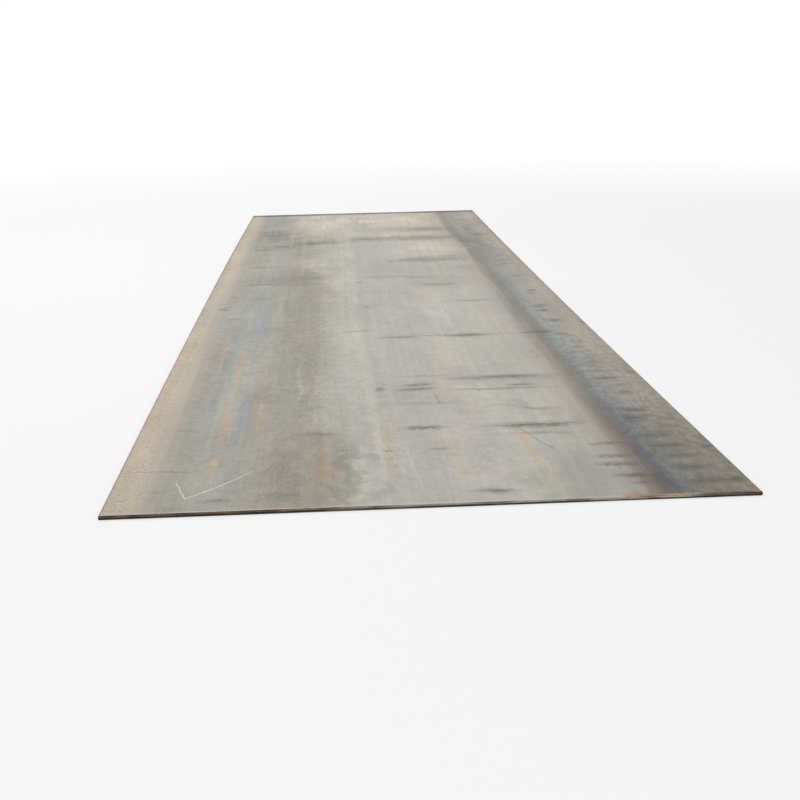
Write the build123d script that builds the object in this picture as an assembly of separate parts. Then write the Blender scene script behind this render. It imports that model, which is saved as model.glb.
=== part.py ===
from build123d import *
import os

# A hot-rolled steel plate, cut to length and lying flat. It is one piece of steel, so it is one solid.
# It is made as the real one is: a strip is rolled, bowing a little sideways, and then sheared at both ends.
# +Y runs along the rolling direction, +X across it and +Z up. The origin is under the middle of the plate.

# Stock size, in millimetres
LENGTH = 6000.0  # over the two sheared ends
WIDTH = 1500.0  # over the two rolled edges
THICKNESS = 10.0

# Long edges, left as the rolls made them
EDGE_CAMBER = 12.0  # how far both edges bow sideways at mid length
EDGE_RADIUS = 3.5  # rounding where a rolled edge meets a face

# Short ends, sheared: rolled over on one face, then a smooth land, then a torn slope back to the burr
SHEAR_ROLLOVER = 1.2  # radius where the blade pulled the face over
SHEAR_LAND = 3.0  # height of the smooth band that the blade rubbed
SHEAR_LEAN = 0.8  # how far the torn part slopes back

# Strip that the shear cuts off past each end
TRIM = 50.0


def rolled_edge(middle, reach):
    """Plan view of one long edge: a parabola whose rise over the plate's length is the camber.
    middle is its place across the strip at mid length, and reach how far it runs each way from there."""
    rise = EDGE_CAMBER * (reach / (LENGTH / 2)) ** 2
    return Bezier((middle + rise, -reach), (middle - rise, 0), (middle + rise, reach))


def rolled_strip():
    """The strip before it is cut: the plan between its two bowed edges, with the edges rounded by the rolls."""
    reach = LENGTH / 2 + TRIM
    centre = -EDGE_CAMBER / 2
    left = rolled_edge(centre - WIDTH / 2, reach)
    right = rolled_edge(centre + WIDTH / 2, reach)
    plan = make_face(left + Line(left @ 1, right @ 1) + right + Line(right @ 0, left @ 0))
    strip = extrude(plan, THICKNESS)
    long_edges = strip.edges().filter_by(GeomType.LINE, reverse=True)
    return fillet(long_edges, EDGE_RADIUS)


def sheared_outline():
    """Side view of the cut plate, with the length along local x. The tail is rolled over on top. The head is
    the tail turned half round, because one stroke of the shear leaves the tail of one plate and the head of
    the next."""
    tail = -LENGTH / 2
    land_foot = THICKNESS - SHEAR_ROLLOVER - SHEAR_LAND
    rollover = CenterArc((tail + SHEAR_ROLLOVER, THICKNESS - SHEAR_ROLLOVER), SHEAR_ROLLOVER, 90, 90)
    face = Polyline(rollover @ 1, (tail, land_foot), (tail + SHEAR_LEAN, 0))
    tail_end = rollover + face
    head_end = Pos(0, THICKNESS) * Rot(0, 0, 180) * tail_end
    top = Line((tail + SHEAR_ROLLOVER, THICKNESS), (-tail - SHEAR_LEAN, THICKNESS))
    bottom = Line((tail + SHEAR_LEAN, 0), (-tail - SHEAR_ROLLOVER, 0))
    return make_face(tail_end + top + head_end + bottom)


def steel_plate():
    """The rolled strip, kept only between the two cuts of the shear."""
    across = WIDTH + EDGE_CAMBER
    between_cuts = extrude(Plane.YZ * sheared_outline(), amount=across, both=True)
    plate = rolled_strip() & between_cuts
    plate.label = "steel_plate"
    return plate


os.makedirs("parts", exist_ok=True)
export_step(steel_plate(), "parts/steel_plate.step")
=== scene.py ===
# %% [markdown]
# # A hot-rolled steel plate
# This lesson dresses one flat steel plate as it lies in a stock yard, six metres long and still grey from
# the mill. The shape is simple, so nearly all of the likeness is in two things: the edges, which two
# different tools made, and the finish, a thin skin of oxide with years of small events written on it. The
# packed plate is loaded first, because its length, width and thickness are read from there.

# %% Load the packed plate
import math

import bpy
import numpy as np
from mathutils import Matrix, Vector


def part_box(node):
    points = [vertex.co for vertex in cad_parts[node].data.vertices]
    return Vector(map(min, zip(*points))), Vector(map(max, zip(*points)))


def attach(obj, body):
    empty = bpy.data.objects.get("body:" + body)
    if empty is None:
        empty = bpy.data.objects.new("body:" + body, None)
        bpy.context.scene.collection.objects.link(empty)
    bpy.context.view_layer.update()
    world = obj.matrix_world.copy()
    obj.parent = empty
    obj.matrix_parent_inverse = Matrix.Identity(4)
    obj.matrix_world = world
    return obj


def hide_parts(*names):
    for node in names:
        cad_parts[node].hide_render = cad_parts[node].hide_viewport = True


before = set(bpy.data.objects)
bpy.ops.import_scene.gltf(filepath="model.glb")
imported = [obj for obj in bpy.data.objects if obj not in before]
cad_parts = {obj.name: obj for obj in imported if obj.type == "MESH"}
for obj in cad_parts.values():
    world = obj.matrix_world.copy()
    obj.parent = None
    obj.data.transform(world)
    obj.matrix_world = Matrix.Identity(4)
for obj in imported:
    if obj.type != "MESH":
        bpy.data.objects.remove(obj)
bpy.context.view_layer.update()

CAMBER = 0.012  # how far the strip bows sideways at mid length, in metres

low, high = (np.array(corner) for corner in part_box("steel_plate"))
LENGTH = high[1] - low[1]
THICKNESS = high[2] - low[2]
WIDTH = high[0] - low[0] - CAMBER
print(f"{len(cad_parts)} packed node, {LENGTH:.3f} x {WIDTH:.3f} x {THICKNESS:.3f} m")

# %% [markdown]
# ## The camera
# The plate is seen low and from one end, so that it runs away into the distance. Such a view can be set
# by eye, but here a camera was fitted to the plate's four corners and two long edges, which puts every
# edge in its place. A camera in Blender looks along its own -Z, so a first turn of 75 degrees about X
# tips it up from looking straight down. The lens is worked out from the focal length in pixels, which is
# what a fit gives.

# %% Camera
PICTURE = 800  # pixels on a side
FOCAL = 1258.3  # focal length in those pixels
EYE = (-0.1995, -5.6694, 0.9549)
TURN = (75.288, 1.154, -3.146)  # degrees about X, Y and Z

lens = bpy.data.cameras.new("camera")
lens.sensor_width = 36.0
lens.lens = lens.sensor_width * FOCAL / PICTURE
camera = bpy.data.objects.new("camera", lens)
camera.location = EYE
camera.rotation_euler = [math.radians(angle) for angle in TURN]
bpy.context.scene.collection.objects.link(camera)
bpy.context.scene.camera = camera
print(f"lens {lens.lens:.1f} mm, {EYE[2] - high[2]:.2f} m above the plate")

# %% [markdown]
# ## The rolled long edges
# A long edge is left as the rolls made it, so both of its corners are rounded. A Bevel modifier could
# round them, but the levels found here also carry the profile of the two cut ends, so one list serves all
# round. Each level, from the top to the underside, has a height, and an inset: how far it stays back from
# the widest place. Both follow a quarter circle at each corner, with a short straight stretch between.

# %% Levels through the thickness
EDGE_RADIUS = 0.0035
CORNER_STEPS = 5
STRAIGHT_STEPS = 4

turn = np.linspace(0.0, np.pi / 2, CORNER_STEPS + 1)
corner_inset = EDGE_RADIUS * (1 - np.sin(turn))
corner_drop = EDGE_RADIUS * (1 - np.cos(turn))
straight = np.linspace(THICKNESS - EDGE_RADIUS, EDGE_RADIUS, STRAIGHT_STEPS + 1)[1:-1]
level_inset = np.concatenate([corner_inset, 0 * straight, corner_inset[::-1]])
level_height = np.concatenate([THICKNESS - corner_drop, straight, corner_drop[::-1]])
print(f"{len(level_height)} levels, {level_height[0] * 1000:.1f} to {level_height[-1] * 1000:.1f} mm high")

# %% [markdown]
# ## The stations along and across
# The skin of the plate is a set of grids, and its points need to be close only where the shape changes
# fast. Across the plate they are even, one every few millimetres, because the torn edge needs that. Along
# it they can be far apart, except beside the two ends, where the face bends down over the cut. A few more
# stations are listed there.

# %% Stations along and across
ACROSS = 480
ALONG = 100
NEAR_END = np.array([0.0008, 0.002, 0.004, 0.008, 0.016, 0.032])  # metres from an end

across = np.linspace(0.0, 1.0, ACROSS + 1)
along = np.linspace(0.0, 1.0, ALONG + 1)
along = np.unique(np.concatenate([along, NEAR_END / LENGTH, 1 - NEAR_END / LENGTH]))
from_left = across * WIDTH
print(f"{len(across)} points across every {WIDTH / ACROSS * 1000:.1f} mm, {len(along)} stations along")

# %% [markdown]
# ## Rough lines
# A torn edge is rough in a natural way: large slow waves with smaller, quicker ones on them. Plain random
# numbers would look like a saw. Value noise looks torn: random heights at even places are joined by an
# ease curve, and several such lines are added, each twice as fine and half as high as the last. The seed
# is fixed, so each run gives the same edge.

# %% Rough lines


def rough_line(places, spacing, octaves, seed):
    """Noise from 0 to 1 along a line: random heights every spacing metres, joined by 3t^2 - 2t^3, added up
    over octaves that halve in spacing and in height."""
    chance = np.random.default_rng(seed)
    total = np.zeros_like(places)
    for octave in range(octaves):
        step = places * 2**octave / spacing
        knot = np.floor(step).astype(int)
        heights = chance.random(knot.max() + 2)
        share = step - knot
        ease = share * share * (3 - 2 * share)
        total += (heights[knot] * (1 - ease) + heights[knot + 1] * ease) / 2**octave
    return total / (2 - 0.5 ** (octaves - 1))


trial = rough_line(from_left, spacing=0.1, octaves=4, seed=1)
print(f"a rough line over the width, from {trial.min():.2f} to {trial.max():.2f}")

# %% [markdown]
# ## The sheared ends
# A shear first pulls the face over, then rubs a smooth land, and then the rest tears and slopes back. A
# flat end with a bumpy material would show none of that at the rim, so the end is a true profile over the
# height. Its setback from the cut plane is a quarter circle at the rolled-over face, zero on the land and
# a straight slope below it. The foot of the land wanders across the plate, and the torn part is lumpy.
# The other end is the same end turned half round, with its land below and its torn part above.

# %% Sheared ends
ROLLOVER = 0.0012  # radius where the blade pulled the face over
LEAN = 0.0008  # how far the torn part slopes back
LAND_FOOT = 0.0058  # mean height where the land ends and the tear begins
LAND_WANDER = 0.0045  # how far that height may wander, from lowest to highest
LAND_WAVE = 0.35  # metres between its slowest waves
LUMP_DEPTH = 0.0007  # depth of the lumps in the tear
LUMP_SPACING = 0.02
LUMPS_FULL = 1 / 6  # share of the tear after which the lumps have their full depth


def tear_depth(height, seed):
    """How far into the tear a point is: 0 on the land and 1 at the burr. It is (foot - height)/foot, where
    height counts up from the torn side and the foot of the land is a rough line over the width."""
    foot = LAND_FOOT + LAND_WANDER * (rough_line(from_left, LAND_WAVE, 6, seed)[:, None] - 0.5)
    return np.clip((foot - height) / foot, 0, 1)


def sheared_setback(height, depth, seed):
    """Setback of a sheared face over the plate's width and levels. The rolled-over corner of radius R is
    R - sqrt(R^2 - d^2) at d above its foot, the land is 0, and the tear is a slope with lumps on it."""
    over = np.clip(height - (THICKNESS - ROLLOVER), 0, ROLLOVER)
    rolled = ROLLOVER - np.sqrt(ROLLOVER**2 - over**2)
    lines = [rough_line(from_left, LUMP_SPACING, 3, seed + level) for level in range(len(height))]
    lumps = np.clip(depth / LUMPS_FULL, 0, 1) * LUMP_DEPTH * np.stack(lines, axis=1)
    return rolled[None, :] + depth * LEAN + lumps


front_depth = tear_depth(level_height, seed=11)
back_depth = tear_depth(THICKNESS - level_height, seed=47)
front_y = low[1] + sheared_setback(level_height, front_depth, seed=12)
back_y = high[1] - sheared_setback(THICKNESS - level_height, back_depth, seed=48)
print(f"front end sets back by up to {(front_y - low[1]).max() * 1000:.2f} mm")

# %% [markdown]
# ## The top face
# No rolled plate is quite flat. A Wave or Displace modifier could bend it, but a sum of three cosines is
# one line and its depth is known. The waves are long and shallow, less than half a millimetre, just
# enough to move the light. At the far end the tear comes up through the top, so a burr stands there: a
# thin ragged lip.

# %% Height of the top face
WAVE_DEPTH = 0.0004
WAVES = [  # height, radians per metre along, radians per metre across, and the first angle
    (1.0, 4.1, 2.0, 0.0),
    (0.7, 7.3, -3.1, 1.0),
    (0.5, 0.0, 5.0, 0.0),
]
BURR_REACH = 0.003
BURR_SPACING = 0.05

run = along[None, :] * LENGTH
side = from_left[:, None]
waves = sum(tall * np.cos(by_run * run + by_side * side + first) for tall, by_run, by_side, first in WAVES)
wave_dip = WAVE_DEPTH * (0.5 - waves / (2 * sum(tall for tall, *_ in WAVES)))
burr_dip = WAVE_DEPTH * (1 - rough_line(from_left, BURR_SPACING, 5, seed=90)[:, None])
burr_rise = np.clip(1 - (LENGTH - run) / BURR_REACH, 0, 1) ** 2
top_z = THICKNESS - wave_dip * (1 - burr_rise) - burr_dip * burr_rise
print(f"top face from {top_z.min() * 1000:.2f} to {top_z.max() * 1000:.2f} mm high")

# %% [markdown]
# ## One skin from five grids
# The plate is one piece of steel, so its skin should be one closed mesh. Every point of the skin follows
# one rule with three numbers: how far across, how far along, and which level. The top face, the two
# rolled edges and the two sheared ends are each that rule with one of the three held still. So their
# borders fall on the same points, with no need to fit one surface to another.

# %% The skin's points


def skin_points(a, level, v):
    """Points of the skin for indexes that broadcast: across a, level, and along v. y runs straight from
    the front end to the back end, x spans the level's width about the bowed middle -c/2 + c(2y/L)^2, and
    z scales the level's height by the top face's."""
    y = front_y[a, level] * (1 - along[v]) + back_y[a, level] * along[v]
    middle = CAMBER * ((2 * y / LENGTH) ** 2 - 0.5)
    x = middle + (across[a] - 0.5) * (WIDTH - 2 * level_inset[level])
    z = level_height[level] / THICKNESS * top_z[a, v]
    return np.stack(np.broadcast_arrays(x, y, z), axis=-1)


all_across, all_levels, all_along = (np.arange(len(line)) for line in (across, level_height, along))
grids = {
    "top": skin_points(all_across[:, None], 0, all_along[None, :]),
    "left": skin_points(0, all_levels[:, None], all_along[None, :]),
    "right": skin_points(ACROSS, all_levels[:, None], all_along[None, :]),
    "front": skin_points(all_across[:, None], all_levels[None, :], 0),
    "back": skin_points(all_across[:, None], all_levels[None, :], len(along) - 1),
}
loose = np.concatenate([grid.reshape(-1, 3) for grid in grids.values()])
print(f"{len(loose)} points in {len(grids)} grids")

# %% [markdown]
# ## Welding the grids
# Where two grids meet, each brings its own copy of the border. Merge by Distance could weld them in the
# mesh. Here the points are rounded to a micron and equal ones counted once, which also tells each grid
# the new number of each of its points. How deep a point is in the tear goes along, for the finish of the
# cut.

# %% Welded points
MICRON = 1e-6

rounded = np.round(loose / MICRON).astype(np.int64)
_, first, welded = np.unique(rounded, axis=0, return_index=True, return_inverse=True)
points = loose[first]
depths = {name: np.zeros(grid.shape[:2]) for name, grid in grids.items()}
depths.update(front=front_depth, back=back_depth)
torn = np.concatenate([depth.ravel() for depth in depths.values()])[first]

ends = np.cumsum([depth.size for depth in depths.values()])
pieces = np.split(welded.reshape(-1), ends[:-1])
index = {name: piece.reshape(grids[name].shape[:2]) for name, piece in zip(grids, pieces)}
print(f"{len(loose)} points welded to {len(points)}")

# %% [markdown]
# ## The skin's faces
# A grid of point numbers becomes four-sided faces by taking each number with its neighbour in both
# directions. The order of the four decides which way a face points, so it is turned round for two of the
# grids. The underside is flat and needs no grid: one wide face runs between each pair of stations, and a
# many-sided face closes it at each end.

# %% The skin's faces
TURNED = {"top": False, "left": True, "right": False, "front": True, "back": False}
CUT_ENDS = ("front", "back")


def grid_faces(numbers, turned):
    """Four-sided faces of a grid of point numbers. Each takes a point, the one in the next row, the one
    past both, and the one in the next column."""
    quads = np.stack([numbers[:-1, :-1], numbers[1:, :-1], numbers[1:, 1:], numbers[:-1, 1:]], axis=-1)
    quads = quads.reshape(-1, 4)
    return quads[:, ::-1] if turned else quads


face_sets = {name: grid_faces(index[name], TURNED[name]) for name in grids}
left_foot, right_foot = index["left"][-1], index["right"][-1]
strips = np.stack([right_foot[1:-2], left_foot[1:-2], left_foot[2:-1], right_foot[2:-1]], axis=-1)
front_cap = np.concatenate([index["front"][::-1, -1], [left_foot[1], right_foot[1]]])
back_cap = np.concatenate([index["back"][:, -1], [right_foot[-2], left_foot[-2]]])

underside = [*strips.tolist(), front_cap.tolist(), back_cap.tolist()]
faces = [face for quads in face_sets.values() for face in quads.tolist()] + underside
on_cut = [np.full(len(quads), name in CUT_ENDS) for name, quads in face_sets.items()]
is_cut = np.concatenate([*on_cut, np.zeros(len(underside), bool)])
print(f"{len(faces)} faces, {is_cut.sum()} of them on the two cut ends")

# %% [markdown]
# ## The mesh and a test of it
# The points and faces go into one mesh, shaded smooth, with sharp edges kept where the cut turns steeply.
# The volume that the skin encloses is a good test of a closed surface: a sum of small pyramids from the
# origin, one on each triangle. If any grid points inwards, it falls well short of length x width x
# thickness.

# %% The mesh
SHARP_ANGLE = 50  # degrees

skin = bpy.data.meshes.new("plate_skin")
skin.from_pydata(points.tolist(), [], faces)
skin.polygons.foreach_set("material_index", is_cut.astype(np.int32))
skin.polygons.foreach_set("use_smooth", np.ones(len(faces), bool))
skin.set_sharp_from_angle(angle=math.radians(SHARP_ANGLE))
skin.attributes.new("torn", "FLOAT", "POINT").data.foreach_set("value", torn.astype(np.float32))
skin.validate()
plate = bpy.data.objects.new("plate_skin", skin)
bpy.context.scene.collection.objects.link(plate)

skin.calc_loop_triangles()
corners = np.empty(len(skin.loop_triangles) * 3, np.int32)
skin.loop_triangles.foreach_get("vertices", corners)
p, q, r = np.moveaxis(points[corners.reshape(-1, 3)], 1, 0)
litres = np.einsum("ij,ij->i", p, np.cross(q, r)).sum() / 6 * 1000
block = LENGTH * WIDTH * THICKNESS * 1000
print(f"{len(skin.loop_triangles)} triangles enclose {litres:.2f} litres, a plain block {block:.2f}")

# %% [markdown]
# ## Colours and fields
# A finish in Blender is a graph of nodes. Written out link by link it is hard to read, so two small
# classes let it be written as sums. The first is a Field: a number or colour that changes over the
# surface. Plus, minus, times and divide between fields each add one Math node. Colours are written as a
# screen shows them, because that is how they are judged, and are turned into the linear light that a
# shader works in.

# %% Colours and fields


def screen(red, green, blue):
    """The linear colour that shows as these screen values, 0 to 255. A share c of 255 becomes c/12.92
    where it is small, and ((c + 0.055)/1.055)^2.4 elsewhere."""
    c = np.array([red, green, blue]) / 255
    linear = np.where(c <= 0.04045, c / 12.92, ((c + 0.055) / 1.055) ** 2.4)
    return (*linear.tolist(), 1.0)


class Field:
    """A number or colour that changes over the surface: one output of a node."""

    def __init__(self, finish, socket):
        self.finish = finish
        self.socket = socket

    def __add__(self, other):
        return self.finish.maths("ADD", self, other)

    def __radd__(self, other):
        return self.finish.maths("ADD", other, self)

    def __sub__(self, other):
        return self.finish.maths("SUBTRACT", self, other)

    def __rsub__(self, other):
        return self.finish.maths("SUBTRACT", other, self)

    def __mul__(self, other):
        return self.finish.maths("MULTIPLY", self, other)

    def __truediv__(self, other):
        return self.finish.maths("DIVIDE", self, other)


print(f"middle grey, 128 on the screen, is {screen(128, 128, 128)[0]:.3f} in linear light")

# %% [markdown]
# ## A finish
# The second class is the material being built, and its methods add the nodes, at most three at a time.
# Most marks on the plate are drawn with an ease from one value to another, a cloudy noise, and a soft
# oval. Images would be quicker to paint, but formulas stay sharp at any distance and can be changed by
# one number.

# %% A finish


class Finish:
    """A material under construction."""

    def __init__(self, name):
        self.material = bpy.data.materials.new(name)
        self.material.use_nodes = True
        self.tree = self.material.node_tree
        self.shader = self.tree.nodes["Principled BSDF"]

    def plug(self, socket, value):
        """Links a field to an input, or types a plain value into it."""
        if isinstance(value, Field):
            self.tree.links.new(value.socket, socket)
        else:
            socket.default_value = value

    def node(self, kind, inputs, output=0, **settings):
        """Adds a node with these settings and inputs, and gives one of its outputs."""
        made = self.tree.nodes.new(kind)
        for name, value in settings.items():
            setattr(made, name, value)
        for key, value in inputs.items():
            self.plug(made.inputs[key], value)
        return Field(self, made.outputs[output])

    def maths(self, operation, *values):
        """One operation on numbers, by Blender's name for it."""
        return self.node("ShaderNodeMath", dict(enumerate(values)), operation=operation)

    def ease(self, value, start, end, first=0.0, last=1.0):
        """Goes from first to last as value goes from start to end, by 3t^2 - 2t^3, and stays there. The
        curve never leaves its range, so the node's own clamp is off: it would only use up memory."""
        inputs = {"Value": value, "From Min": start, "From Max": end, "To Min": first, "To Max": last}
        return self.node("ShaderNodeMapRange", inputs, interpolation_type="SMOOTHSTEP", clamp=False)

    def between(self, value, start, end, soft):
        """1 from start to end, and 0 outside, over soft metres either way at each border."""
        return self.ease(value, start - soft, start + soft) * self.ease(value, end + soft, end - soft)

    def stretched(self, place, scale, shift=(0.0, 0.0, 0.0)):
        """A place multiplied by a scale and moved, so that a pattern is drawn out or made finer."""
        return self.node("ShaderNodeVectorMath", {0: place, 1: scale, 2: shift}, operation="MULTIPLY_ADD")

    def noise(self, place, scale, shift=(0.0, 0.0, 0.0), detail=2.0, rough=0.5, output=0):
        """Cloudy noise around 0.5, with scale lumps to the metre in each direction. Output 1 gives three
        noises at once."""
        vector = self.stretched(place, scale, shift)
        inputs = {"Vector": vector, "Scale": 1.0, "Detail": detail, "Roughness": rough}
        return self.node("ShaderNodeTexNoise", inputs, output)

    def mix(self, under, over, mask):
        """One colour laid over another where mask is 1. Inputs 6 and 7 are the node's two colours."""
        return self.node("ShaderNodeMix", {0: mask, 6: under, 7: over}, output=2, data_type="RGBA")

    def scaled(self, colour, factor):
        """A colour made lighter or darker by a factor."""
        return self.node("ShaderNodeVectorMath", {0: colour, 3: factor}, operation="SCALE")

    def stops(self, value, colours):
        """A colour looked up along value, from pairs of a position from 0 to 1 and a colour."""
        looked_up = self.node("ShaderNodeValToRGB", {"Fac": value})
        bar = looked_up.socket.node.color_ramp
        while len(bar.elements) < len(colours):
            bar.elements.new(0.5)
        for element, (position, colour) in zip(bar.elements, colours):
            element.position = position
            element.color = colour
        return looked_up

    def oval(self, place, wide, long, strength, core):
        """A soft oval, with a middle and a half size across (wide) and along (long). Counted in half sizes
        from the middle, it has its full strength out to core and fades to 0 at 1."""
        scale = (1 / wide[1], 1 / long[1], 0.0)
        shift = (-wide[0] / wide[1], -long[0] / long[1], 0.0)
        measured = self.stretched(place, scale, shift)
        outwards = self.node("ShaderNodeVectorMath", {0: measured}, output=1, operation="LENGTH")
        return self.ease(outwards, 1.0, core, 0.0, strength)


print("methods of a finish:", ", ".join(name for name in vars(Finish) if not name.startswith("_")))

# %% [markdown]
# ## Coordinates on the strip
# The bands on the plate were laid down while it was one long strip, so they follow its bowed edges. The
# finish therefore reads how far a point is from the left edge, not its plain x. The underside has had a
# life of its own. It wears the same finish turned half round, which saves a second one.

# %% Coordinates on the strip
mill = Finish("mill_scale")
object_place = mill.node("ShaderNodeTexCoord", {}, output="Object")
split = mill.node("ShaderNodeSeparateXYZ", {0: object_place})
x, y, z = (Field(mill, output) for output in split.socket.node.outputs)

bow = y * y * (CAMBER * (2 / LENGTH) ** 2) - CAMBER / 2
left_distance = x - bow + WIDTH / 2
is_top = mill.ease(z, 0.45 * THICKNESS, 0.55 * THICKNESS)
facing = is_top * 2.0 - 1.0
s = (left_distance - WIDTH / 2) * facing + WIDTH / 2
t = y * facing
place = mill.node("ShaderNodeCombineXYZ", {0: s, 1: t})
print(f"s runs 0 to {WIDTH:.2f} m from the left edge, t from {-LENGTH / 2:.1f} m at the near end")

# %% [markdown]
# ## Five noises
# Nothing on the plate has a clean outline or an even tone. Five noises, from broad clouds to a sandy
# grain, are made once and used all through the finish, which is cheaper than a new one for each mark. A
# noise that has more lumps to the metre one way than the other looks drawn out: streaks run with the
# rolling direction, and smears run across it.

# %% Five noises
clouds = mill.noise(place, (5.0, 2.2, 0.0), (0.0, 7.0, 0.0), detail=4.0, rough=0.6) - 0.5
mottle = mill.noise(place, (42.0, 26.0, 0.0), (4.0, 1.0, 0.0), detail=4.0, rough=0.65) - 0.5
grain = mill.noise(place, (190.0, 130.0, 0.0), detail=2.0, rough=0.7) - 0.5
streaks = mill.noise(place, (42.0, 0.7, 0.0), (2.0, 0.0, 0.0), detail=3.0, rough=0.6) - 0.5
smears = mill.noise(place, (5.0, 48.0, 0.0), (1.0, 4.0, 0.0), detail=4.0, rough=0.6) - 0.5
print(f"five noises, {len(mill.tree.nodes)} nodes so far")

# %% [markdown]
# ## Pushing a place about
# A mark drawn by a plain formula has a smooth border, and a real one is frayed. The trick is to leave the
# formula alone and to move the place that it reads, by a noise with a value of its own in each direction.

# %% Pushing a place about
push = mill.noise(place, (9.0, 5.0, 0.0), detail=4.0, rough=0.6, output=1)
centred = mill.node("ShaderNodeVectorMath", {0: push, 1: (0.5, 0.5, 0.5)}, operation="SUBTRACT")


def pushed(across_by, along_by):
    """The place plus a noise times (across_by, along_by), which frays whatever is drawn there."""
    amount = (across_by, along_by, 0.0)
    return mill.node("ShaderNodeVectorMath", {0: centred, 1: amount, 2: place}, operation="MULTIPLY_ADD")


print(f"{len(mill.tree.nodes)} nodes so far")

# %% [markdown]
# ## Bands across the plate
# The strip cooled as a coil, and air reached its margins first, so the colour changes across the plate: a
# pale tan margin, a cool grey band, a pale middle, and towards the right a dark line with a blue heat
# tint. Each band could be a mask of its own, but one colour ramp over the distance from the left edge
# holds them all.

# %% Bands across the plate
BANDS = [  # metres from the left edge, and the colour there
    (0.000, screen(187, 173, 153)),  # tan margin
    (0.056, screen(191, 179, 161)),
    (0.104, screen(165, 160, 150)),  # cool grey band
    (0.160, screen(161, 157, 148)),
    (0.230, screen(163, 161, 153)),
    (0.330, screen(165, 161, 153)),
    (0.540, screen(181, 177, 167)),  # pale middle
    (0.600, screen(187, 183, 174)),
    (0.658, screen(188, 184, 175)),
    (0.672, screen(174, 169, 161)),  # a thin darker line in it
    (0.690, screen(180, 176, 168)),
    (0.800, screen(180, 176, 169)),
    (0.920, screen(188, 183, 175)),
    (1.050, screen(185, 182, 172)),
    (1.180, screen(179, 174, 165)),
    (1.240, screen(170, 164, 155)),  # dark line
    (1.266, screen(140, 133, 125)),
    (1.290, screen(132, 126, 120)),
    (1.312, screen(128, 128, 124)),  # blue tint
    (1.338, screen(140, 144, 141)),
    (1.370, screen(154, 152, 146)),  # right band
    (1.410, screen(160, 154, 145)),
    (1.470, screen(163, 156, 144)),
    (1.500, screen(156, 145, 130)),
]

wander = mill.noise(place, (2.0, 0.9, 0.0), detail=3.0) - 0.5
# on the far half the bands at the right shift a little one way and then the other
drift = mill.ease(t, 1.5, 2.0, 0.0, 0.02) - mill.between(t, 1.0, 1.4, 0.25) * 0.025
drift = drift * mill.ease(s, 1.0, 1.2)
band_place = s + drift + wander * 0.035 + clouds * 0.045 + mottle * 0.055 + grain * 0.03
colour = mill.stops(band_place / WIDTH, [(metres / WIDTH, tint) for metres, tint in BANDS])
print(f"{len(BANDS)} stops across {WIDTH:.2f} m")

# %% [markdown]
# ## The brown band and its wandering edge
# Between the cool grey and the pale middle lies a brown band. Its border wanders too far for a noise, so
# it is laid on apart. A Float Curve node holds the line where it ends: it reads the place along the plate
# from 0 to 1 and gives a distance from the left edge, so a short list of points draws the whole wander.

# %% The brown band
BROWN_EDGE = [  # share of the length from the near end, and metres from the left edge
    (0.000, 0.545),
    (0.025, 0.565),
    (0.060, 0.570),
    (0.090, 0.530),
    (0.120, 0.485),
    (0.150, 0.462),
    (0.230, 0.466),
    (0.275, 0.500),
    (0.310, 0.527),
    (0.380, 0.505),
    (0.500, 0.530),
    (0.560, 0.480),
    (0.720, 0.480),
    (0.770, 0.520),
    (0.830, 0.400),
    (1.000, 0.360),
]

edge_line = mill.node("ShaderNodeFloatCurve", {"Value": t / LENGTH + 0.5})
curve = edge_line.socket.node.mapping
for position, distance in BROWN_EDGE[1:-1]:
    curve.curves[0].points.new(position, distance)
for point, (position, distance) in zip(curve.curves[0].points, BROWN_EDGE):
    point.location = (position, distance)
curve.update()

past_edge = s + wander * 0.035 + clouds * 0.06 + mottle * 0.05 - edge_line
brown = mill.ease(past_edge, 0.05, -0.05) * mill.ease(s, 0.26, 0.40)
colour = mill.mix(colour, screen(156, 151, 140), brown * mill.ease(t, 0.3, 1.2, 1.0, 0.5))
print(f"{len(BROWN_EDGE)} points along the brown band's edge")

# %% [markdown]
# ## Heat tints and stains
# Where the oxide is very thin it shows interference colours, as a tempered tool does: straw, purple, then
# blue. They run lengthwise in narrow tracks that fade in and out. Water has left orange streaks and grey
# ones. Noise alone would put them anywhere, so each is a long soft oval in a list, and the grain breaks
# it up.

# %% Heat tints and stains
TEAL = screen(148, 158, 160)
BLUE = screen(140, 147, 157)
PURPLE = screen(146, 133, 126)
STRAW = screen(203, 182, 138)
ORANGE = screen(194, 162, 122)
RUST_BROWN = screen(166, 130, 98)
DAMP_GREY = screen(134, 128, 118)
PALE_GREY = screen(188, 183, 173)

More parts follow.
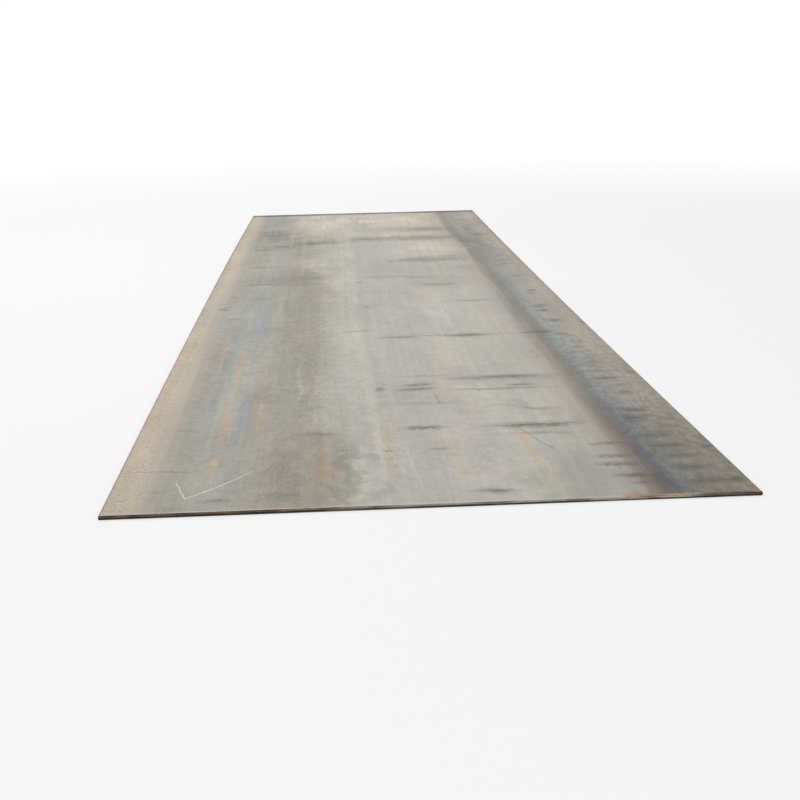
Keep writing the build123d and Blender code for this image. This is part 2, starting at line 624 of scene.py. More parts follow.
TINTS = [  # left, right, near end and far end in metres, then the colour and how strong it is
    (0.150, 0.260, -0.80, 0.15, TEAL, 0.62),
    (0.200, 0.340, -1.50, -0.20, TEAL, 0.64),
    (0.165, 0.230, -1.55, -0.55, TEAL, 0.55),
    (0.250, 0.300, -1.20, -0.65, BLUE, 0.64),
    (0.150, 0.240, -3.00, -1.00, TEAL, 0.65),
    (0.240, 0.315, -2.65, -1.70, BLUE, 0.80),
    (0.280, 0.335, -2.60, -1.45, PURPLE, 0.60),
    (0.205, 0.250, -1.95, -1.20, ORANGE, 0.50),
    (0.205, 0.252, -2.65, -1.85, ORANGE, 0.60),
    (0.195, 0.255, -2.73, -2.55, STRAW, 0.65),
    (0.145, 0.180, -1.70, -1.05, ORANGE, 0.40),
    (0.308, 0.350, -2.50, -1.90, ORANGE, 0.36),
    (0.450, 0.540, -2.95, -2.45, RUST_BROWN, 0.55),
    (0.145, 0.180, 0.36, 0.70, ORANGE, 0.70),
    (0.335, 0.376, 0.00, 0.80, RUST_BROWN, 0.50),
    (0.645, 0.700, -2.85, -2.30, ORANGE, 0.40),
    (0.805, 0.865, -2.95, -2.30, STRAW, 0.35),
    (1.010, 1.052, -2.62, -2.38, ORANGE, 0.60),
    (1.010, 1.060, -2.95, -2.35, STRAW, 0.50),
    (1.010, 1.055, -1.35, -0.75, STRAW, 0.45),
    (0.870, 0.970, -1.80, -1.00, STRAW, 0.25),
    (0.785, 0.828, 1.15, 2.65, RUST_BROWN, 0.55),
    (0.715, 0.765, 2.15, 3.05, ORANGE, 0.45),
    (1.110, 1.160, 0.75, 1.40, STRAW, 0.40),
    (0.800, 1.300, 1.65, 3.40, STRAW, 0.35),
    (1.058, 1.082, 0.15, 1.50, TEAL, 0.45),
    (1.408, 1.442, -1.90, -0.70, ORANGE, 0.50),
    (1.310, 1.380, -2.30, -0.60, TEAL, 0.40),
    (0.447, 0.477, -2.30, -1.40, DAMP_GREY, 0.55),
    (0.414, 0.443, -2.40, -1.20, PALE_GREY, 0.60),
    (0.345, 0.385, 0.60, 2.10, DAMP_GREY, 0.55),
    (0.520, 0.575, 1.25, 1.80, DAMP_GREY, 0.55),
    (0.635, 0.680, 1.25, 1.80, DAMP_GREY, 0.50),
    (0.400, 0.440, 1.20, 1.70, DAMP_GREY, 0.50),
]


def span(start, end):
    """The middle and the half length of a stretch."""
    return (start + end) / 2, (end - start) / 2


tint_place = pushed(0.05, 0.30)
broken = mill.ease(grain + mottle * 0.9, -0.20, 0.14, 0.25, 1.0)
for left, right, near, far, tint, strength in TINTS:
    track = mill.oval(tint_place, span(left, right), span(near, far), strength, core=0.1)
    colour = mill.mix(colour, tint, track * broken)
print(f"{len(TINTS)} tints and stains")

# %% [markdown]
# ## Dust and painted sheen
# Towards the far end pale dust lies in broad patches. They also stand in for painted sheen: the far end is
# brightened as if it caught the sky at a grazing angle. These are ovals too, but wide ones with no clear
# border, so the place they are read at is pushed much further about than for the tints.

# %% Dust and painted sheen
DUST_AND_SHEEN_COLOUR = screen(212, 203, 185)
DUST = [  # left, right, near end and far end in metres, then how thick it lies
    (0.200, 0.680, 1.55, 3.80, 0.85),
    (0.340, 1.360, 1.25, 4.00, 0.75),
    (0.800, 1.300, 0.75, 1.60, 0.60),
    (0.360, 0.600, 0.40, 1.00, 0.45),
    (1.240, 1.560, 2.30, 3.30, 0.32),
]

# painted sheen: the pale patches also brighten the far end as if it caught the sky at a grazing angle
dust_and_sheen_place = pushed(0.20, 0.50)
dust_and_sheen_breakup = mill.ease(clouds + mottle * 0.35 + grain * 0.2, -0.26, 0.18, 0.50, 1.0)
for left, right, near, far, strength in DUST:
    patch = mill.oval(dust_and_sheen_place, span(left, right), span(near, far), strength, core=0.1)
    colour = mill.mix(colour, DUST_AND_SHEEN_COLOUR, patch * dust_and_sheen_breakup)
print(f"{len(DUST)} patches of dust")

# %% [markdown]
# ## The heat line
# Along the right the colours stand in their full order, as on a blued spring: straw brown, purple, blue,
# then grey. The line is strongest at the near end, and on the far half only grey is left of it. One
# colour ramp over a short stretch gives the order, and a strength that falls off along the plate lays it
# on. Fine lines along the plate, which the rolls drew, shift the colours a little from place to place.

# %% The heat line
HEAT_ORDER = [  # metres from the left edge, and the colour there
    (1.190, screen(164, 159, 150)),
    (1.240, screen(152, 144, 131)),
    (1.266, screen(128, 118, 107)),
    (1.284, screen(100, 89, 81)),
    (1.300, screen(88, 84, 86)),
    (1.314, screen(72, 80, 90)),
    (1.328, screen(90, 97, 101)),
    (1.348, screen(103, 104, 101)),
    (1.400, screen(114, 109, 99)),
    (1.500, screen(124, 117, 105)),
]
HEAT_FROM, HEAT_TO = HEAT_ORDER[0][0], HEAT_ORDER[-1][0]
HEAT_REACH = HEAT_TO - HEAT_FROM

far_right = mill.between(s, 1.285, 1.40, 0.02) * mill.ease(t + clouds * 0.8, 0.0, 1.3)
colour = mill.mix(colour, screen(154, 149, 140), far_right * 0.7)

lines = mill.noise(place, (120.0, 0.5, 0.0), (5.0, 0.0, 0.0), detail=2.0) - 0.5
heat_place = s + mottle * 0.022 + wander * 0.02 + lines * 0.03
heat_stops = [((metres - HEAT_FROM) / HEAT_REACH, tint) for metres, tint in HEAT_ORDER]
heat_colour = mill.stops((heat_place - HEAT_FROM) / HEAT_REACH, heat_stops)
heat = mill.ease(heat_place, 1.20, 1.275) * mill.ease(t + clouds * 0.7, -1.0, -3.32, 0.0, 0.96)
colour = mill.mix(colour, heat_colour, heat)
print(f"{len(HEAT_ORDER)} heat colours over {HEAT_REACH * 1000:.0f} mm")

# %% [markdown]
# ## Soft shades
# Grease and damp got into the oxide in places and left soft dark patches with no outline. They are listed
# as ovals, and the place is pushed so far about that no oval can be made out. Only their sum is needed,
# because they all darken alike.

# %% Soft shades
SHADES = [  # left, right, near end and far end in metres, then how much darker
    (0.900, 1.340, -3.40, -2.45, 0.26),
    (0.560, 1.340, 0.05, 0.80, 0.18),
    (0.340, 0.490, -3.15, -2.25, 0.26),
    (0.510, 0.640, -3.10, -2.35, 0.28),
    (0.100, 0.350, -3.20, -2.70, 0.08),
    (0.620, 1.280, -1.74, -1.64, 0.08),
    (0.820, 1.290, -1.92, -1.71, 0.15),
    (0.620, 0.920, -2.05, -1.83, 0.13),
    (0.880, 1.290, -2.50, -2.27, 0.15),
    (1.050, 1.210, -2.27, -2.15, 0.13),
    (0.410, 0.560, -2.46, -2.35, 0.10),
    (0.330, 0.540, -1.10, 0.10, 0.10),
    (0.340, 0.430, -1.70, -0.70, 0.12),
    (0.300, 0.360, -2.30, -1.40, 0.12),
    (0.620, 1.300, -1.23, -1.09, 0.14),
    (0.780, 0.980, -1.00, -0.55, 0.12),
    (0.630, 0.730, -0.75, -0.40, 0.12),
    (0.085, 0.150, -0.65, -0.42, 0.22),
    (0.050, 0.380, 1.42, 2.30, 0.40),
    (1.100, 1.250, 2.45, 2.80, 0.15),
    (0.340, 0.560, 0.10, 0.56, 0.14),
    (0.060, 0.400, 2.10, 3.60, 0.12),
    (1.200, 1.440, 0.00, 2.40, 0.22),
    (1.200, 1.440, 1.20, 1.95, 0.14),
    (1.220, 1.310, -1.90, -0.10, 0.16),
    (0.640, 0.790, 1.70, 3.20, 0.20),
    (0.520, 0.670, -0.90, 0.10, 0.14),
    (0.520, 0.670, -2.70, -1.75, 0.16),
    (0.530, 0.650, 0.20, 1.50, 0.10),
    (1.250, 1.390, 1.70, 2.40, 0.12),
]

shade_place = pushed(0.45, 0.55)
shade = 0.0
for left, right, near, far, amount in SHADES:
    shade = mill.oval(shade_place, span(left, right), span(near, far), amount, core=0.3) + shade
print(f"{len(SHADES)} soft shades")

# %% [markdown]
# ## Marks of the bearers
# Timber bearers lay across the plate while it was stored, and damp stayed longest beneath them. Their
# marks are grey bars with ragged borders, most of them on the far half. Each is an oval again, given by
# its line along the plate and a half height.

# %% Marks of the bearers
BEARER_MARKS = [  # left, right, line along the plate and half height in metres, then how much darker
    (0.020, 0.420, 1.34, 0.20, 0.26),
    (0.200, 0.720, 1.50, 0.17, 0.34),
    (0.560, 0.900, 1.62, 0.20, 0.30),
    (0.720, 1.360, 1.62, 0.20, 0.44),
    (0.760, 1.340, 2.04, 0.20, 0.38),
    (0.760, 1.360, 0.76, 0.15, 0.36),
    (0.820, 1.240, 0.12, 0.18, 0.18),
    (0.820, 1.240, -0.05, 0.14, 0.20),
    (0.040, 0.600, 0.20, 0.17, 0.20),
]

bearer_place = pushed(0.30, 0.24)
damp = 0.0
for left, right, line, half_height, amount in BEARER_MARKS:
    damp = mill.oval(bearer_place, span(left, right), (line, half_height), amount, core=0.25) + damp
print(f"{len(BEARER_MARKS)} bearer marks")

# %% [markdown]
# ## Tone
# How light or dark a spot is comes from one sum: the shades and the bearer marks, broken up by the
# noises, and then the noises by themselves. The mottle is stronger on the rubbed right side. The sum is
# one factor on the colour, so it costs little. A last noise makes some tracks warmer and some cooler.

# %% Tone
blotch = mill.ease(clouds + mottle * 0.6 + smears * 0.3, -0.14, 0.10, 0.35, 1.0)
uneven = mill.ease(clouds + smears * 0.5 + streaks * 0.4, -0.28, 0.20, 0.45, 1.0)
rubbed = mill.ease(s, 1.2, 1.35) * mill.ease(t, -0.5, -2.5)
left_part = mill.ease(s, 0.7, 0.5)
fine = mottle * (rubbed * 1.1 + left_part * 0.25 + 0.55) + grain * (rubbed * 0.6 + 0.40)
broad = clouds * (left_part * 0.2 + 0.6) + streaks * 0.28 + smears * 0.15 + lines * 0.12
tone = 1.0 - shade * blotch - damp * uneven + broad + fine
colour = mill.scaled(colour, tone)

warmth = mill.noise(place, (17.0, 0.8, 0.0), (9.0, 3.0, 0.0), detail=3.0)
warm = mill.ease(warmth, 0.53, 0.75, 0.0, 0.30) * (1.0 - heat)
cool = mill.ease(warmth, 0.46, 0.28, 0.0, 0.28)
colour = mill.mix(colour, screen(198, 186, 162), warm)
colour = mill.mix(colour, screen(160, 165, 165), cool)
print(f"{len(mill.tree.nodes)} nodes so far")

# %% [markdown]
# ## Scuffs
# Bars and lifting chains have been dragged across the plate, and left dark rubs that run from side to
# side. Each is two ovals on one line. A wide soft one is the rub, and the smears tear it into parallel
# lines. A thin one along its middle is the groove, and a noise makes it skip as a dragged bar does. The
# stronger of the two shows. They could be painted on an image, but an oval is moved by changing a number
# or two.

# %% Scuffs
SCUFFS = [  # left, right, line along the plate and half height in metres, then how strong
    (0.640, 1.290, -1.165, 0.024, 0.45),
    (0.690, 0.880, -1.172, 0.034, 0.70),
    (0.890, 1.150, -1.165, 0.040, 1.00),
    (1.190, 1.380, -1.155, 0.036, 0.90),
    (0.800, 1.290, -1.830, 0.040, 0.70),
    (0.920, 1.270, -1.815, 0.044, 1.00),
    (0.652, 0.690, -1.942, 0.040, 1.00),
    (0.690, 0.870, -1.950, 0.034, 1.00),
    (0.710, 0.860, -1.897, 0.024, 0.85),
    (0.820, 1.280, -1.972, 0.024, 0.65),
    (1.050, 1.190, -1.932, 0.034, 0.70),
    (0.690, 0.870, -2.376, 0.034, 1.00),
    (0.880, 1.280, -2.380, 0.040, 1.00),
    (0.930, 1.240, -2.465, 0.022, 0.50),
    (1.040, 1.200, -2.212, 0.026, 0.50),
    (0.820, 0.970, -2.925, 0.034, 1.00),
    (0.655, 0.690, -2.585, 0.016, 0.85),
    (0.760, 0.840, -2.580, 0.018, 0.60),
    (1.170, 1.300, -2.580, 0.024, 0.95),
    (1.170, 1.300, -2.690, 0.030, 0.85),
    (1.160, 1.295, -2.752, 0.030, 0.95),
    (1.170, 1.295, -2.845, 0.032, 1.00),
    (1.210, 1.310, -2.905, 0.036, 0.85),
    (1.315, 1.450, -1.885, 0.034, 0.95),
    (1.345, 1.430, -2.070, 0.040, 0.75),
    (1.350, 1.430, -2.265, 0.044, 0.95),
    (1.300, 1.430, -2.350, 0.060, 1.00),
    (1.290, 1.440, -2.527, 0.036, 1.00),
    (1.315, 1.450, -2.618, 0.044, 0.95),
    (1.435, 1.515, -2.640, 0.026, 0.95),
    (1.325, 1.460, -2.705, 0.034, 0.80),
    (1.325, 1.460, -2.800, 0.036, 0.95),
    (1.300, 1.515, -2.905, 0.040, 0.90),
    (1.440, 1.510, -2.900, 0.036, 1.00),
    (1.345, 1.420, -0.645, 0.060, 0.70),
    (1.345, 1.420, -0.732, 0.050, 0.95),
    (1.350, 1.435, -0.940, 0.044, 0.90),
    (1.470, 1.505, -1.000, 0.044, 0.95),
    (1.330, 1.420, -1.200, 0.044, 0.65),
    (1.350, 1.420, -1.420, 0.034, 0.50),
    (1.455, 1.510, -1.820, 0.030, 0.65),
    (0.655, 0.690, -0.550, 0.044, 0.70),
    (1.040, 1.260, 0.860, 0.036, 0.60),
    (0.090, 0.220, -2.700, 0.012, 0.45),
    (0.215, 0.300, -2.925, 0.034, 0.75),
    (0.330, 0.470, -2.905, 0.040, 0.45),
    (0.410, 0.560, -2.405, 0.030, 0.60),
    (0.540, 0.720, -1.035, 0.030, 0.45),
    (0.560, 1.040, 0.230, 0.036, 0.45),
    (0.900, 1.150, -0.028, 0.040, 0.65),
    (0.960, 1.290, -0.462, 0.032, 0.50),
    (0.650, 0.980, -1.780, 0.026, 0.35),
    (0.620, 0.980, -2.120, 0.024, 0.30),
    (0.780, 1.280, 0.730, 0.032, 0.55),
    (0.850, 1.010, 0.180, 0.034, 0.55),
    (0.810, 0.905, -0.238, 0.024, 0.45),
    (1.385, 1.440, -0.260, 0.034, 0.95),
    (1.355, 1.420, 1.696, 0.070, 0.60),
    (1.370, 1.440, 0.530, 0.046, 0.70),
    (1.465, 1.505, 0.048, 0.040, 0.70),
    (0.960, 1.230, 2.040, 0.070, 0.60),
    (0.080, 0.220, 1.270, 0.050, 0.60),
    (0.200, 0.340, 1.385, 0.050, 0.65),
    (0.320, 0.530, 1.470, 0.055, 0.75),
    (0.095, 0.260, 1.875, 0.060, 0.60),
    (0.115, 0.240, 1.550, 0.050, 0.50),
    (0.095, 0.270, 0.626, 0.040, 0.55),
    (0.095, 0.325, 0.095, 0.036, 0.60),
    (0.320, 0.525, 0.075, 0.036, 0.50),
    (0.065, 0.155, -0.522, 0.030, 0.65),
    (0.080, 0.150, -0.210, 0.030, 0.55),
    (0.650, 0.820, 1.612, 0.050, 0.60),
    (0.805, 0.875, 0.716, 0.034, 0.55),
    (0.635, 0.695, 0.088, 0.032, 0.55),
]
GROOVE_WIDTH, GROOVE_HEIGHT = 0.9, 0.25  # share of the rub's size

fray = mill.node("ShaderNodeCombineXYZ", {1: mottle * 0.05 + grain * 0.03})
scuff_place = mill.node("ShaderNodeVectorMath", {0: pushed(0.10, 0.05), 1: fray}, operation="ADD")
groove_place = pushed(0.08, 0.022)
rubs, grooves = 0.0, 0.0
for left, right, line, half_height, strength in SCUFFS:
    middle, half_width = span(left, right)
    rub = mill.oval(scuff_place, (middle, half_width), (line, half_height), strength, core=0.15)
    groove_wide = (middle, half_width * GROOVE_WIDTH)
    groove_long = (line, half_height * GROOVE_HEIGHT)
    groove = mill.oval(groove_place, groove_wide, groove_long, strength, core=0.3)
    rubs = mill.maths("MAXIMUM", rub, rubs)
    grooves = mill.maths("MAXIMUM", groove, grooves)

torn_up = mill.ease(smears + mottle * 1.2 + grain * 0.7, -0.20, 0.12, 0.25, 0.85)
skip_noise = mill.noise(place, (30.0, 6.0, 0.0), (8.0, 1.0, 0.0), detail=3.0)
skips = mill.ease(skip_noise, 0.38, 0.54, 0.15, 0.9)
scuff = mill.maths("MAXIMUM", rubs * torn_up, grooves * skips)
scuff_colour = mill.mix(screen(76, 72, 66), screen(54, 50, 46), mill.ease(s, 1.27, 1.33))
colour = mill.mix(colour, scuff_colour, scuff * 0.9)
print(f"{len(SCUFFS)} scuffs")

# %% [markdown]
# ## Small rubs and flecks
# Between the scuffs are many smaller marks that nobody would place one by one: short dashes on the right
# band and at the tan margin, hair lines across, and flecks in the pale middle. Each is the peaks of a
# noise, kept to its own part of the plate by a mask.

# %% Small rubs and flecks
dashes = mill.noise(place, (8.0, 17.0, 0.0), (3.0, 2.0, 0.0), detail=3.0, rough=0.6)
dash_zone = mill.between(s, 1.345, 1.425, 0.02) + mill.between(s, 0.10, 0.17, 0.03) * 0.5
small_rubs = mill.ease(dashes + mottle * 0.3, 0.56, 0.68) * dash_zone
hair_lines = mill.ease(smears, 0.11, 0.24) * mill.ease(clouds, -0.10, 0.10)
fleck_noise = mill.noise(place, (60.0, 24.0, 0.0), (6.0, 9.0, 0.0), detail=2.0)
flecks = mill.ease(fleck_noise, 0.70, 0.76) * mill.between(s, 0.62, 1.24, 0.10)
marks = mill.maths("MAXIMUM", small_rubs * 0.6, hair_lines * 0.40)
colour = mill.mix(colour, screen(108, 103, 95), mill.maths("MAXIMUM", marks, flecks * 0.6))
print(f"{len(mill.tree.nodes)} nodes so far")

# %% [markdown]
# ## Specks
# Sand and brick dust lie on the plate. Grains could be scattered as small meshes, but they are only a few
# millimetres wide, so the peaks and pits of a fine noise will do. The pale ones crowd at the near left,
# and the brown ones on the tan margin.

# %% Specks
spots = mill.noise(place, (150.0, 90.0, 0.0), (11.0, 5.0, 0.0), detail=3.0, rough=0.65)
near_left = mill.ease(s + clouds * 0.2, 0.64, 0.40) * mill.ease(t + clouds * 0.8, -1.6, -2.6)
pale_specks = mill.ease(spots + mottle * 0.5, 0.50, 0.32) * (near_left * 0.28 + 0.08)
on_margin = mill.ease(band_place, 0.115, 0.06) * mill.ease(t, -1.0, -2.6, 0.25, 1.0)
brown_specks = mill.ease(spots + mottle * 0.6, 0.52, 0.72) * (on_margin * 0.60 + 0.15)
colour = mill.mix(colour, screen(198, 187, 166), pale_specks)
colour = mill.mix(colour, screen(138, 120, 98), brown_specks)
print(f"{len(mill.tree.nodes)} nodes so far")

# %% [markdown]
# ## Strokes: a few scratches and a chalk tick
# A stroke is every point within a few millimetres of a straight piece between two places. The nearest
# place on the piece is found with a dot product, held between its two ends. Scratches are dark or bright
# strokes laid on faintly. Stock is ticked off with chalk when it is counted, and the chalk keeps to the
# high spots of the grain. A curve object could draw the tick, but it would float on the face, and chalk
# lies in it.

# %% Scratches and chalk
DARK_SCRATCHES = [  # start and end of each piece
    ((1.035, -2.430), (1.090, -2.610)),
    ((0.834, -2.030), (0.842, -2.140)),
    ((1.000, -2.150), (1.140, -2.240)),
    ((0.995, -0.640), (1.000, -0.710)),
    ((1.440, -1.950), (1.425, -2.220)),
    ((0.030, -2.690), (0.140, -2.700)),
]
PALE_SCRATCHES = [((0.640, -2.420), (0.700, -2.760)), ((0.715, -2.560), (0.735, -2.930))]
CHALK_TICK = [((0.150, -2.790), (0.185, -2.905)), ((0.185, -2.905), (0.330, -2.715))]

stroke_place = pushed(0.03, 0.05)


def stroke(start, end, half_width):
    """1 on the line from start to end. The share along it is (p - a).(b - a)/|b - a|^2, held between 0 and
    1, and the gap from there to p is eased over half_width."""
    a, b = np.array([*start, 0.0]), np.array([*end, 0.0])
    whole = b - a
    reach = mill.node("ShaderNodeVectorMath", {0: stroke_place, 1: tuple(a)}, operation="SUBTRACT")
    scale = tuple(whole / whole.dot(whole))
    dot = mill.node("ShaderNodeVectorMath", {0: reach, 1: scale}, output=1, operation="DOT_PRODUCT")
    share = mill.node("ShaderNodeClamp", {0: dot})
    nearest = mill.node("ShaderNodeVectorMath", {0: tuple(whole), 3: share}, operation="SCALE")
    gap = mill.node("ShaderNodeVectorMath", {0: reach, 1: nearest}, output=1, operation="DISTANCE")
    return mill.ease(gap, half_width, half_width * 0.3)


def strokes(pieces, half_width):
    """The strongest of the strokes at each place."""
    strongest = 0.0
    for start, end in pieces:
        strongest = mill.maths("MAXIMUM", stroke(start, end, half_width), strongest)
    return strongest


dark = strokes(DARK_SCRATCHES, half_width=0.0040)
pale = strokes(PALE_SCRATCHES, half_width=0.0045)
chalk = strokes(CHALK_TICK, half_width=0.0036) * mill.ease(grain, -0.14, 0.08, 0.25, 0.85) * is_top
colour = mill.mix(colour, screen(104, 99, 92), dark * 0.45)
colour = mill.mix(colour, screen(222, 218, 208), mill.maths("MAXIMUM", pale * 0.16, chalk))
print(f"{len(DARK_SCRATCHES) + len(PALE_SCRATCHES)} scratches and a tick of {len(CHALK_TICK)} strokes")

# %% [markdown]
# ## The two short edges
# The near edge is worn pale by handling, and painted paler still as a highlight where the light catches
# its rolled-over lip, but dark at its right end. Along the far edge lies a dark ragged border. Both follow
# the place along the plate, so an ease over the last centimetre makes the one, and over the last tenth of
# a metre the other.

# %% The two short edges
# painted highlight: the pale lip is partly edge wear and partly light caught by the rolled-over lip
worn_and_highlit = mill.ease(t + mottle * 0.02, -2.988, -2.997)
dark_end = mill.ease(s + mottle * 0.1, 1.33, 1.38)
lip_wear_and_highlight = mill.mix(screen(204, 195, 180), screen(66, 60, 53), dark_end)
colour = mill.mix(colour, lip_wear_and_highlight, worn_and_highlit * 0.6)
far_dark = mill.ease(t + mottle * 0.10 + clouds * 0.12, 2.875, 2.975)
colour = mill.mix(colour, screen(60, 53, 46), far_dark * 0.92)
print(f"{len(mill.tree.nodes)} nodes so far")

# %% [markdown]
# ## Rust and the rolled edges, with painted shade
# Shearing breaks the oxide, so rust starts along the cut. It is worst where the heat line and the brown
# band meet the cut, and at the near right corner. On the rounded long edges the oxide has cracked as
# well, so they are brown. They are also drawn wider and darker on the far half, and darker towards the
# near
# right corner: painted shade, where the edge rolls down out of the light. A mask says how far rust may
# reach, and a noise under that mask gives it ragged borders, which a mask alone would not.

# %% Rust and the rolled edges
rust_noise = mill.noise(place, (28.0, 40.0, 0.0), (2.0, 6.0, 0.0), detail=5.0, rough=0.65)
at_cut = mill.ease(t, -2.955, -2.994)
at_heat_line = mill.between(s, 1.17, 1.35, 0.05)
at_brown_band = mill.between(s, 0.40, 0.52, 0.06) * 0.7
worst = mill.maths("MAXIMUM", at_heat_line, at_brown_band)
corner_rust = mill.ease(s + mottle * 0.012, 1.466, 1.496) * mill.ease(t, -2.87, -2.95)
rust_reach = mill.maths("MAXIMUM", at_cut * (worst * 0.75 + 0.10), corner_rust * 0.74)
rust = mill.ease(rust_noise + rust_reach * 0.55, 0.76, 1.02, 0.0, 0.85)
rust_colour = mill.mix(screen(128, 90, 58), screen(186, 142, 90), mill.ease(rust_noise, 0.35, 0.65))

to_edge = mill.maths("MINIMUM", left_distance, WIDTH - left_distance)
# painted shade: the rolled edges are drawn wider and darker on the far half, and darker at the near right
edge_reach = mill.ease(t, -1.0, 1.5, 0.0060, 0.0105)
rolled_edge = mill.ease(to_edge, edge_reach, 0.0015)
edge_colour_and_shade = mill.mix(screen(78, 66, 55), screen(122, 107, 91), mill.ease(rust_noise, 0.35, 0.60))
near_right_shade = mill.ease(t, -2.2, -2.6, 0.0, 0.75) * mill.ease(s, 0.5, 1.0)
edge_shade = mill.maths("MAXIMUM", mill.ease(t, -0.5, 1.2, 0.0, 0.85), near_right_shade)
edge_colour_and_shade = mill.mix(edge_colour_and_shade, screen(52, 46, 40), edge_shade)
colour = mill.mix(colour, edge_colour_and_shade, rolled_edge * 0.85)
colour = mill.mix(colour, rust_colour, rust)
print(f"{len(mill.tree.nodes)} nodes so far")

# %% [markdown]
# ## Gloss and relief
# The oxide is satin. Rust is duller, and rubbed places a little shinier. The grain, the streaks and the
# scuffs also stand as very small relief, a few tenths of a millimetre at most, so that the light breaks
# on them. That is too fine for the mesh, and a Bump node gives it from the same fields that made the
# colour.

# %% Gloss and relief
roughness = 0.58 + grain * 0.30 + clouds * 0.20 - scuff * 0.12 + rust * 0.25
relief = grain * 0.5 + mottle * 0.8 + streaks * 0.5 + smears * 0.3 - scuff * 0.3 + rust * 0.4
bump = mill.node("ShaderNodeBump", {"Strength": 0.35, "Distance": 0.0012, "Height": relief})
mill.plug(mill.shader.inputs["Base Color"], colour)
mill.plug(mill.shader.inputs["Roughness"], roughness)
mill.plug(mill.shader.inputs["Normal"], bump)
mill.plug(mill.shader.inputs["Specular IOR Level"], 0.15)
skin.materials.append(mill.material)
print(f"mill scale finish with {len(mill.tree.nodes)} nodes")

# %% [markdown]
# ## The sheared steel
# The cut faces have no oxide. The land is rubbed steel, pale where nothing has touched it, and the tear
# is rough and dark, partly from its own colour and partly as painted shade. A height could tell the two
# apart, but the foot of the land wanders. The skin carries how deep in the tear each point is, so the
# colours fall exactly on the shape.

# %% Sheared steel
cut = Finish("sheared_steel")
cut_place = cut.node("ShaderNodeTexCoord", {}, output="Object")
cut_split = cut.node("ShaderNodeSeparateXYZ", {0: cut_place})
cut_x, _, cut_z = (Field(cut, output) for output in cut_split.socket.node.outputs)
in_tear = cut.node("ShaderNodeAttribute", {}, output="Fac", attribute_name="torn")
tooth = cut.noise(cut_place, (420.0, 0.0, 60.0), detail=3.0) - 0.5
patches = cut.noise(cut_place, (11.0, 0.0, 150.0), (4.0, 0.0, 0.0), detail=4.0, rough=0.6)
land_colour = cut.mix(screen(122, 114, 103), screen(180, 173, 161), cut.ease(patches, 0.36, 0.56))
# painted shade: the tear's dark colour is partly the torn steel and partly shade painted into it
tear_colour_and_shade = cut.mix(screen(52, 46, 40), screen(104, 94, 84), cut.ease(patches, 0.46, 0.64))
cut_colour = cut.mix(land_colour, tear_colour_and_shade, cut.ease(in_tear + tooth * 0.2, 0.02, 0.12))
print(f"land and tear, {len(cut.tree.nodes)} nodes so far")

# %% [markdown]
# ## Grime, painted shade and rust on the cut
# Grime has darkened the cut towards both corners, and painted shade darkens it most of all low down, in
# the lower half of the cut; a ragged seam shows along its middle, and rust has begun in patches. These lie
# over the land and the tear alike, so they read the height and the place across, with two noises drawn
# out along the cut.

# %% Grime, painted shade and rust on the cut
grimy = cut.ease(cut_x + patches * 0.3, 0.10, -0.25) + cut.ease(cut_x + patches * 0.1, 0.62, 0.70)
grime_and_low_shade = cut.mix(screen(46, 39, 33), screen(98, 86, 73), cut.ease(patches + tooth * 0.3, 0.40, 0.62))
# painted shade: near both corners the lower half of the cut is darkened nearly to black
low_shade = cut.ease(cut_z + tooth * 0.003, 0.0068, 0.0040)
grime_and_low_shade = cut.mix(grime_and_low_shade, screen(28, 23, 18), low_shade * 0.8)
cut_colour = cut.mix(cut_colour, grime_and_low_shade, grimy * 0.9)
seam_height = cut_z + (patches - 0.5) * 0.005 + tooth * 0.002
seam = cut.between(seam_height, 0.0066, 0.0074, 0.0005) * cut.between(cut_x, -0.08, 0.26, 0.06)
cut_colour = cut.mix(cut_colour, screen(58, 51, 44), seam * 0.8)

rusty = cut.noise(cut_place, (7.0, 0.0, 90.0), (9.0, 0.0, 3.0), detail=5.0, rough=0.65)
cut_colour = cut.mix(cut_colour, screen(142, 92, 54), cut.ease(rusty, 0.56, 0.68, 0.0, 0.6))
cut.plug(cut.shader.inputs["Base Color"], cut.scaled(cut_colour, tooth * 0.9 + 1.0))
cut.plug(cut.shader.inputs["Roughness"], 0.6)
cut.plug(cut.shader.inputs["Specular IOR Level"], 0.2)
skin.materials.append(cut.material)
print(f"sheared steel finish with {len(cut.tree.nodes)} nodes")

# %% [markdown]
# ## The room
# The light is plain and soft, and most of it comes from a pale room all round. A room that looks white
# also lights as strongly as white, which is too much beside a lamp. So a Light Path node tells what the
# room is asked for: it shows as white to the camera and in reflections, and lights the rest at about half
# of that.

# %% Room
ROOM_LIGHT = 0.54

room = bpy.data.worlds.new("room")
room.use_nodes = True
bpy.context.scene.world = room
room_nodes, room_links = room.node_tree.nodes, room.node_tree.links
rays = room_nodes.new("ShaderNodeLightPath")
seen = rays.outputs["Is Camera Ray"]
for kind in ("Is Glossy Ray", "Is Transmission Ray"):
    either = room_nodes.new("ShaderNodeMath")
    either.operation = "MAXIMUM"
    room_links.new(seen, either.inputs[0])
    room_links.new(rays.outputs[kind], either.inputs[1])
    seen = either.outputs[0]
brightness = room_nodes.new("ShaderNodeMapRange")
room_links.new(seen, brightness.inputs["Value"])
brightness.inputs["To Min"].default_value = ROOM_LIGHT
background = room_nodes["Background"]
background.inputs["Color"].default_value = (1.0, 1.0, 1.0, 1.0)
room_links.new(brightness.outputs[0], background.inputs["Strength"])
print(f"room shows white and lights at {ROOM_LIGHT:.2f} of that")

# %% [markdown]
# ## The softbox
# One wide softbox overhead gives the light a direction. It is far larger than the plate is wide, so
# shadows stay soft. Its power is set so that room and lamp together leave a colour looking as it was
# written, and the Standard view adds no curve of its own.

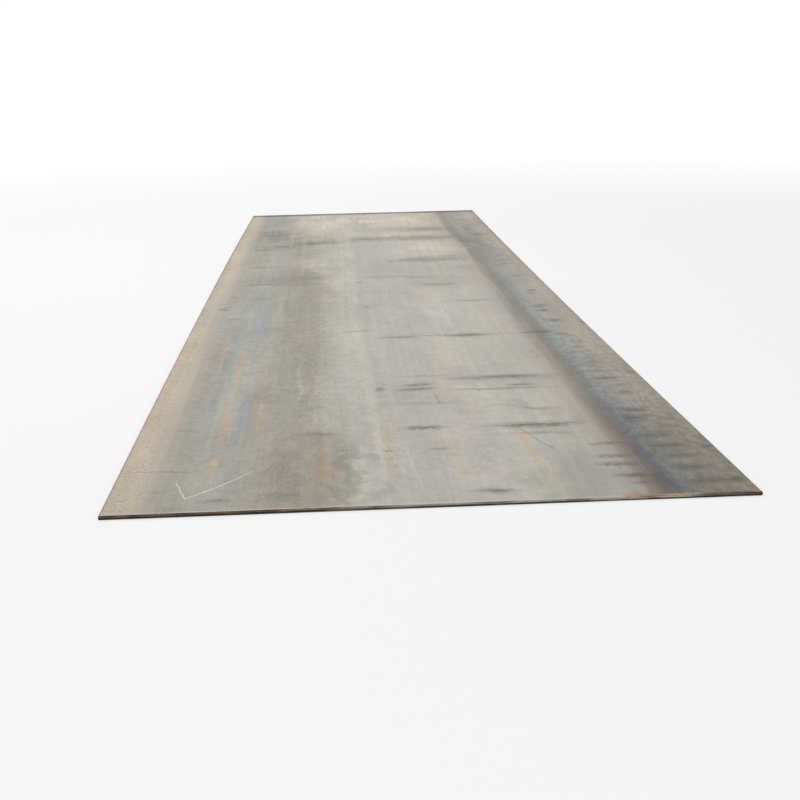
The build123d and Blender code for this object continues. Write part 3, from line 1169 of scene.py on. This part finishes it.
# %% Softbox
softbox_data = bpy.data.lights.new("softbox", "AREA")
softbox_data.shape = "RECTANGLE"
softbox_data.size = 8.0
softbox_data.size_y = 12.0
softbox_data.energy = 305.0
softbox = bpy.data.objects.new("softbox", softbox_data)
softbox.location = (-1.5, 0.5, 6.0)
bpy.context.scene.collection.objects.link(softbox)
bpy.context.scene.view_settings.view_transform = "Standard"
print(f"softbox {softbox_data.size:.0f} x {softbox_data.size_y:.0f} m, {softbox_data.energy:.0f} W")

# %% [markdown]
# ## The floor
# The plate lies on a plain pale floor, which takes its shadow. A floor with an end shows a horizon. So
# this one is very wide, and its surface turns from mostly matt to glowing white with the distance from
# the plate's middle, until it cannot be told from the room.

# %% Floor
FLOOR_REACH = 80.0
MATT_WITHIN, WHITE_FROM = 1.0, 9.0  # metres from the middle of the plate
LEAST_GLOW = 0.35

floor_mesh = bpy.data.meshes.new("floor")
floor_corners = FLOOR_REACH * np.array([[-1, -1, 0], [1, -1, 0], [1, 1, 0], [-1, 1, 0]])
floor_mesh.from_pydata(floor_corners.tolist(), [], [(0, 1, 2, 3)])
floor = bpy.data.objects.new("floor", floor_mesh)
bpy.context.scene.collection.objects.link(floor)

floor_finish = Finish("pale_floor")
floor_finish.plug(floor_finish.shader.inputs["Base Color"], (0.93, 0.93, 0.93, 1.0))
floor_finish.plug(floor_finish.shader.inputs["Roughness"], 1.0)
floor_finish.plug(floor_finish.shader.inputs["Specular IOR Level"], 0.0)
floor_place = floor_finish.node("ShaderNodeTexCoord", {}, output="Object")
away = floor_finish.node("ShaderNodeVectorMath", {0: floor_place}, output=1, operation="LENGTH")
fade = floor_finish.ease(away, MATT_WITHIN, WHITE_FROM, LEAST_GLOW, 1.0)
matt = Field(floor_finish, floor_finish.shader.outputs[0])
glow = floor_finish.node("ShaderNodeEmission", {"Color": (1.0, 1.0, 1.0, 1.0), "Strength": 1.0})
faded = floor_finish.node("ShaderNodeMixShader", {0: fade, 1: matt, 2: glow})
floor_finish.plug(floor_finish.tree.nodes["Material Output"].inputs["Surface"], faded)
floor_mesh.materials.append(floor_finish.material)
print(f"floor {2 * FLOOR_REACH:.0f} m wide, white from {WHITE_FROM:.0f} m on")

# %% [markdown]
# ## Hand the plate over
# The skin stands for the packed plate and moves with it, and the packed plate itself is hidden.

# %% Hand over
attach(plate, "root")
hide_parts("steel_plate")
